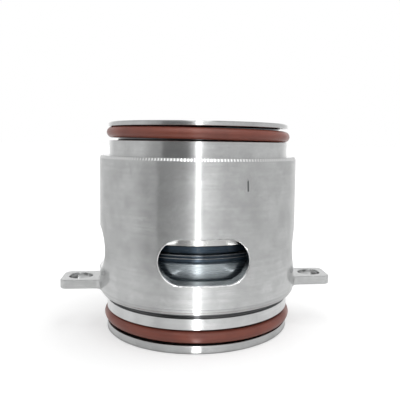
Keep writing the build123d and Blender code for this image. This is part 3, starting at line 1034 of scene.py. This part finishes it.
@dataclass(frozen=True)
class CoilSpring:
    """A compression spring of round wire, with closed and ground ends."""

    outer_diameter: float = 3.2
    wire: float = 0.6
    free_turns: float = 4.0
    closed_turns: float = 0.9
    closed_pitch_share: float = 0.98
    steps_per_turn: int = 30
    sides: int = 12

    def rise(self, turn: float, length: float) -> float:
        """The height of the wire's centre after so many turns, in millimetres.

        Args:
            turn: Turns from the lower end.
            length: The spring's length between its ground ends.

        Returns:
            The height above the lower end.
        """
        dead = self.wire * self.closed_pitch_share
        climb = (length - self.wire - 2.0 * dead * self.closed_turns) / self.free_turns
        into_middle = min(max(turn - self.closed_turns, 0.0), self.free_turns)
        into_dead = turn - into_middle
        return self.wire / 2.0 + into_dead * dead + into_middle * climb

    def build(self, name: str, foot: Vector, length: float, lead: float) -> bpy.types.Object:
        """Winds one spring.

        Args:
            name: The piece's name.
            foot: The middle of its lower end, in millimetres.
            length: Its length as fitted.
            lead: The angle at which the wire starts, in radians.

        Returns:
            The spring.
        """
        wire_radius = self.wire / 2.0
        coil_radius = self.outer_diameter / 2.0 - wire_radius
        turns = self.free_turns + 2.0 * self.closed_turns
        steps = round(turns * self.steps_per_turn)
        rings = []
        for step in range(steps + 1):
            turn = turns * step / steps
            height = self.rise(turn, length)
            ring = []
            for side in range(self.sides):
                round_wire = FULL_TURN * side / self.sides
                out = coil_radius + wire_radius * math.cos(round_wire)
                up = min(max(height + wire_radius * math.sin(round_wire), 0.0), length)
                ring.append((foot + polar(out, lead + FULL_TURN * turn, up)) * MM)
            rings.append(ring)
        return piece_from(name, skin_rings(rings, Ends.CAPPED))


# ---------------------------------------------------------------- sub-assemblies


@dataclass(frozen=True)
class CartridgeHousing:
    """The turned housing with its fixed rings, and what holds them."""

    o_rings: tuple[MouldedRing, ...] = (
        MouldedRing("lower_housing_ring_moulded", "lower_housing_o_ring", tilt=0.55),
        MouldedRing("upper_housing_ring_moulded", "upper_housing_o_ring", tilt=0.85),
    )

    def dress(self, bench: FinishBench) -> None:
        """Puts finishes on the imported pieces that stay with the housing.

        Args:
            bench: What makes the finishes.
        """
        bench.coat_nodes({"housing": TURNED_STEEL, "snap_ring": BLACKENED})
        for end in SealEnd:
            bench.coat_nodes(
                {
                    f"{end.value}_seat": CARBIDE,
                    f"{end.value}_seat_pin": BRIGHT_STEEL,
                    f"{end.value}_seat_o_ring": RUBBER,
                }
            )

    def fit_o_rings(self, bench: FinishBench) -> None:
        """Lays the two moulded O-rings in the housing's outer grooves.

        Args:
            bench: What makes the finishes.
        """
        for ring in self.o_rings:
            piece = ring.build()
            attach(piece, Body.HOUSING.value)
            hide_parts(ring.node)
            bench.coat(piece, RUBBER)


@dataclass(frozen=True)
class ShaftSet:
    """The sleeve that grips the shaft, and the carrier that turns the sprung rings."""

    def dress(self, bench: FinishBench) -> None:
        """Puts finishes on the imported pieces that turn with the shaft.

        Args:
            bench: What makes the finishes.
        """
        bench.coat_nodes(
            {
                "shaft_sleeve": SLEEVE_STEEL,
                "spring_carrier": BLACKENED_BRIGHT_RIM,
                "set_screws": BLACKENED,
            }
        )


@dataclass(frozen=True)
class FaceSet:
    """One end's rotating ring with its pressure ring, seals, drive pins and springs.

    The springs push against the carrier at the height fixed_end, which is not used.
    """

    end: SealEnd
    fixed_end: float
    spring_count: int = 6
    spring_circle: float = 25.55
    travel: float = 1.5
    spring: CoilSpring = CoilSpring()

    def dress(self, bench: FinishBench) -> None:
        """Puts finishes on this end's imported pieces.

        Args:
            bench: What makes the finishes.
        """
        word = self.end.value
        bench.coat_nodes(
            {
                f"{word}_rotating_ring": CARBIDE,
                f"{word}_pressure_ring": GLOSSY_BLACKENED,
                f"{word}_drive_pins": BRIGHT_STEEL,
                f"{word}_ring_o_ring": RUBBER,
                f"{word}_shaft_o_ring": RUBBER,
            }
        )

    def wind_springs(self, bench: FinishBench) -> None:
        """Winds the coil springs.

        Args:
            bench: What makes the finishes.
        """
        word = self.end.value
        low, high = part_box(f"{word}_springs")
        length = (high.z - low.z) / MM
        for i in range(self.spring_count):
            bearing = FULL_TURN * i / self.spring_count
            foot = polar(self.spring_circle, bearing, low.z / MM)
            piece = self.spring.build(f"{word}_coil_spring_{i + 1}", foot, length, bearing)
            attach(piece, Body.SHAFT.value)
            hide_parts(f"{word}_springs")
            bench.coat(piece, WIRE)
            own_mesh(piece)


# ---------------------------------------------------------------- studio


@dataclass(frozen=True)
class Cloth:
    """A white or grey cloth of the light tent, hung from one bearing to another.

    A bearing of 0 points from the part to the camera, and bearings grow towards the camera's
    right. Between two cloths the brightness changes evenly.
    """

    start: float
    end: float
    level: float


@dataclass(frozen=True)
class StudioCamera:
    """The camera, placed about the shaft axis."""

    axis_distance: float = 215.554
    height: float = 74.911
    orbit: float = 3.455
    pan: float = 3.452
    pitch: float = 4.284
    roll: float = 0.825
    lens: float = 46.547
    sensor: float = 36.0
    shift_x: float = -0.0744
    shift_y: float = -0.0453
    nearest: float = 5.0
    farthest: float = 50000.0

    def place(self) -> Vector:
        """Where the camera stands.

        Returns:
            The place, in metres.
        """
        orbit = math.radians(self.orbit)
        out = self.axis_distance * MM
        return Vector((-out * math.sin(orbit), -out * math.cos(orbit), self.height * MM))

    def build(self) -> None:
        """Adds the camera and makes it the scene's."""
        data = bpy.data.cameras.new("studio_camera")
        data.lens = self.lens
        data.sensor_width = self.sensor
        data.shift_x = self.shift_x
        data.shift_y = self.shift_y
        data.clip_start = self.nearest * MM
        data.clip_end = self.farthest * MM
        camera = bpy.data.objects.new("studio_camera", data)
        bpy.context.scene.collection.objects.link(camera)
        turn = math.radians(self.orbit + self.pan)
        pitch = math.radians(self.pitch)
        forward = Vector(
            (math.sin(turn) * math.cos(pitch), math.cos(turn) * math.cos(pitch), -math.sin(pitch))
        )
        aim = forward.to_track_quat("-Z", "Y").to_matrix().to_4x4()
        roll = Matrix.Rotation(math.radians(self.roll), 4, "Z")
        camera.matrix_world = Matrix.Translation(self.place()) @ aim @ roll
        bpy.context.scene.camera = camera


@dataclass(frozen=True)
class LightTent:
    """A round tent of lit cloth about the part, which only its glossy surfaces see.

    The cloth's brightness changes by bearing, one way on its side and another on its roof. On the ground
    it pales towards one level, and darkens again close round the part's foot, a painted shadow. A narrow
    strip light stands in front, with a soft pool of its light low down to both sides.
    """

    radius: float = 145.0
    ground_radius: float = 38.0
    ground_height: float = 0.3
    ground_level: float = 1.1
    ground_share: float = 0.7
    hem: float = 1.0
    foot_shade: float = 0.65
    foot_shade_reach: float = 20.0
    foot_shade_heights: Span = (1.0, 2.0)
    side_height: float = 190.0
    eaves: Span = (115.0, 150.0)
    roof_height: float = 265.0
    roof_hole_radius: float = 1.0
    steps: int = 120
    strip_bearing: float = -0.4
    strip_reach: Span = (0.3, 3.2)
    strip_gain: float = 7.0
    strip_ground_gain: float = 8.0
    pool_reach: float = 35.0
    pool_level: float = 2.5
    pool_ground_share: float = 0.15
    pool_side_share: float = 0.6
    pool_heights: Span = (1.5, 14.0)
    side: tuple[Cloth, ...] = (
        Cloth(-180.0, -150.0, 1.15),
        Cloth(-120.0, -65.0, 0.8),
        Cloth(-50.0, -41.0, 0.5),
        Cloth(-38.0, -12.0, 0.2),
        Cloth(2.0, 6.0, 0.9),
        Cloth(25.0, 60.0, 0.7),
        Cloth(70.0, 115.0, 0.8),
        Cloth(150.0, 180.0, 1.15),
    )
    roof: tuple[Cloth, ...] = (
        Cloth(-180.0, -150.0, 0.75),
        Cloth(-70.0, -50.0, 0.5),
        Cloth(-40.0, 40.0, 1.5),
        Cloth(50.0, 70.0, 0.5),
        Cloth(150.0, 180.0, 0.75),
    )

    @property
    def hem_heights(self) -> Span:
        """The heights between which the ground sheet turns into the side."""
        return self.ground_height, self.ground_height + self.hem

    def mesh(self) -> bmesh.types.BMesh:
        """Builds the cloth: a ground sheet open in the middle, an upright side and a cone for a roof.

        Returns:
            The mesh.
        """
        outline = (
            (self.ground_radius, self.ground_height),
            (self.radius, self.ground_height),
            (self.radius, self.side_height),
            (self.roof_hole_radius, self.roof_height),
        )
        turns = [FULL_TURN * step / self.steps for step in range(self.steps)]
        rings = [[polar(reach, turn, height) * MM for turn in turns] for reach, height in outline]
        return skin_rings(rings, Ends.OPEN)

    def ramp(self, sheet: NodeSheet, share: Socket, cloths: tuple[Cloth, ...]) -> Socket:
        """The cloths' brightness by bearing.

        Args:
            sheet: The sheet that takes the nodes.
            share: The bearing, from 0 at -180 degrees to 1 at 180.
            cloths: The cloths, from left to right.

        Returns:
            The brightness, as a grey.
        """
        made = sheet.node("ShaderNodeValToRGB", {0: share})
        edges = [(edge, cloth.level) for cloth in cloths for edge in (cloth.start, cloth.end)]
        stops = made.color_ramp.elements
        while len(stops) < len(edges):
            stops.new(1.0)
        for stop, (bearing, level) in zip(stops, edges):
            stop.position = 0.5 + bearing / 360.0
            stop.color = (level, level, level, 1.0)
        return made.outputs[0]

    def pool(self, sheet: NodeSheet, height: Socket, from_strip: Socket) -> Socket:
        """How much of the strip light's soft pool lies on the cloth.

        Args:
            sheet: The sheet that takes the nodes.
            height: The height, in millimetres.
            from_strip: The angle from the strip light, in degrees.

        Returns:
            The pool's share, from 0 to 1.
        """
        shares = (self.pool_ground_share, self.pool_side_share)
        share = sheet.spread(height, self.hem_heights, shares)
        nearness = sheet.spread(from_strip, (0.0, self.pool_reach), FALLING)
        return sheet.product(share, nearness, sheet.spread(height, self.pool_heights, FALLING))

    def strength(self, sheet: NodeSheet, height: Socket, from_strip: Socket) -> Socket:
        """How strongly the cloth glows: more at the strip light, and less close round the part's foot.

        Args:
            sheet: The sheet that takes the nodes.
            height: The height, in millimetres.
            from_strip: The angle from the strip light, in degrees.

        Returns:
            The strength, 1 on plain cloth.
        """
        # Dimmer close round the part's foot: a painted shadow on the ground sheet.
        shaded = (self.ground_radius, self.ground_radius + self.foot_shade_reach)
        shade = sheet.spread(sheet.millimetres(sheet.radius()), shaded, (self.foot_shade, 1.0))
        shade = sheet.math("MAXIMUM", shade, sheet.spread(height, self.foot_shade_heights))
        gain = sheet.spread(height, self.hem_heights, (self.strip_ground_gain, self.strip_gain))
        strip = sheet.product(sheet.spread(from_strip, self.strip_reach, FALLING), gain)
        return sheet.product(sheet.math("ADD", strip, 1.0), shade)

    def build(self, home: Vector) -> None:
        """Stands the tent round the part.

        Args:
            home: Where the camera stands. Bearings are measured from it.
        """
        tent = piece_from("studio_tent", self.mesh())
        tent.visible_camera = False
        tent.visible_diffuse = False
        tent.visible_shadow = False
        sheet = NodeSheet(bpy.data.materials.new("studio_tent_cloth"))
        offset = sheet.math("SUBTRACT", sheet.turn(), math.atan2(home.y, home.x))
        turns = sheet.math("DIVIDE", offset, FULL_TURN)
        # The half turn puts the camera in the middle of the ramp. The whole one keeps it positive.
        share = sheet.math("FRACT", sheet.math("ADD", turns, 1.0 + 0.5))
        bearing = sheet.spread(share, RISING, (-180.0, 180.0))
        from_strip = sheet.math("ABSOLUTE", sheet.math("SUBTRACT", bearing, self.strip_bearing))
        height = sheet.height()
        on_ground = sheet.spread(height, self.hem_heights, (self.ground_share, 0.0))
        colour = sheet.blend(on_ground, self.ramp(sheet, share, self.side), (self.ground_level,) * 3)
        colour = sheet.blend(sheet.spread(height, self.eaves), colour, self.ramp(sheet, share, self.roof))
        colour = sheet.blend(self.pool(sheet, height, from_strip), colour, (self.pool_level,) * 3)
        feeds: Feeds = {"Color": colour, "Strength": self.strength(sheet, height, from_strip)}
        sheet.close(sheet.node("ShaderNodeEmission", feeds).outputs[0])
        tent.data.materials.append(sheet.owner)
        LOG.info("studio tent with %d side cloths", len(self.side))


@dataclass(frozen=True)
class Studio:
    """A white floor, a light tent, one soft lamp and an even sky."""

    camera: StudioCamera = StudioCamera()
    tent: LightTent = LightTent()
    floor_size: float = 24000.0
    floor_albedo: float = 0.6
    floor_glow: Span = (0.48, 0.75)
    floor_glow_reach: Span = (55.0, 200.0)
    floor_shine: float = 0.12
    floor_drop: float = 0.02
    sky_level: float = 0.75
    lamp_place: tuple[float, float, float] = (120.0, -60.0, 600.0)
    lamp_aim: tuple[float, float, float] = (0.0, 0.0, 40.0)
    lamp_size: float = 420.0
    lamp_power: float = 1.2

    def build_floor(self) -> None:
        """Lays the white floor, which keeps the part's soft shadow and pales to white far off."""
        mesh = bmesh.new()
        half = self.floor_size * MM / 2.0
        level = -self.floor_drop * MM
        corners = [(-half, -half), (half, -half), (half, half), (-half, half)]
        mesh.faces.new([mesh.verts.new((x, y, level)) for x, y in corners])
        floor = piece_from("studio_floor", mesh)
        sheet = NodeSheet(bpy.data.materials.new("studio_floor_paint"))
        rays = sheet.node("ShaderNodeLightPath").outputs
        straight = sheet.math("MAXIMUM", rays["Is Camera Ray"], rays["Is Transmission Ray"])
        paling = sheet.spread(sheet.millimetres(sheet.radius()), self.floor_glow_reach, self.floor_glow)
        mirrored = sheet.product(rays["Is Glossy Ray"], self.floor_shine)
        strength = sheet.math("ADD", sheet.product(straight, paling), mirrored)
        glow = sheet.node("ShaderNodeEmission", {"Strength": strength})
        paint = sheet.node("ShaderNodeBsdfDiffuse", {"Color": (*(self.floor_albedo,) * 3, 1.0)})
        both = sheet.node("ShaderNodeAddShader", {0: paint.outputs[0], 1: glow.outputs[0]})
        sheet.close(both.outputs[0])
        floor.data.materials.append(sheet.owner)
        LOG.info("studio floor laid")

    def hang_lamp(self) -> None:
        """Hangs one soft square lamp over the part."""
        data = bpy.data.lights.new("overhead_lamp", "AREA")
        data.size = self.lamp_size * MM
        data.energy = self.lamp_power
        lamp = bpy.data.objects.new("overhead_lamp", data)
        bpy.context.scene.collection.objects.link(lamp)
        place = Vector(self.lamp_place) * MM
        facing = (Vector(self.lamp_aim) * MM - place).to_track_quat("-Z", "Y").to_matrix().to_4x4()
        lamp.matrix_world = Matrix.Translation(place) @ facing
        lamp.visible_camera = False

    def light_sky(self) -> None:
        """Makes the sky an even white light, and plain white to the eye and in reflections."""
        world = bpy.data.worlds.new("studio_sky")
        bpy.context.scene.world = world
        sheet = NodeSheet(world)
        rays = sheet.node("ShaderNodeLightPath").outputs
        seen = sheet.math("MAXIMUM", rays["Is Camera Ray"], rays["Is Glossy Ray"])
        seen = sheet.math("MAXIMUM", seen, rays["Is Transmission Ray"])
        lit, plain = (
            sheet.node("ShaderNodeBackground", {"Color": WHITE, "Strength": level}).outputs[0]
            for level in (self.sky_level, 1.0)
        )
        mix = sheet.node("ShaderNodeMixShader", {0: seen, 1: lit, 2: plain})
        sheet.close(mix.outputs[0], "ShaderNodeOutputWorld")

    def build(self) -> None:
        """Builds the whole studio and sets the plain view transform."""
        self.build_floor()
        self.tent.build(self.camera.place())
        self.hang_lamp()
        self.light_sky()
        self.camera.build()
        bpy.context.scene.view_settings.view_transform = "Standard"


def main() -> None:
    """Dresses the part sub-assembly by sub-assembly, then builds the studio."""
    logging.basicConfig(level=logging.INFO, format="%(name)s: %(message)s")
    bench = FinishBench()
    housing = CartridgeHousing()
    housing.dress(bench)
    housing.fit_o_rings(bench)
    ShaftSet().dress(bench)
    for faces in (FaceSet(SealEnd.LOWER, fixed_end=40.5), FaceSet(SealEnd.UPPER, fixed_end=42.7)):
        faces.dress(bench)
        faces.wind_springs(bench)
    Studio().build()


if __name__ == "__main__":
    main()
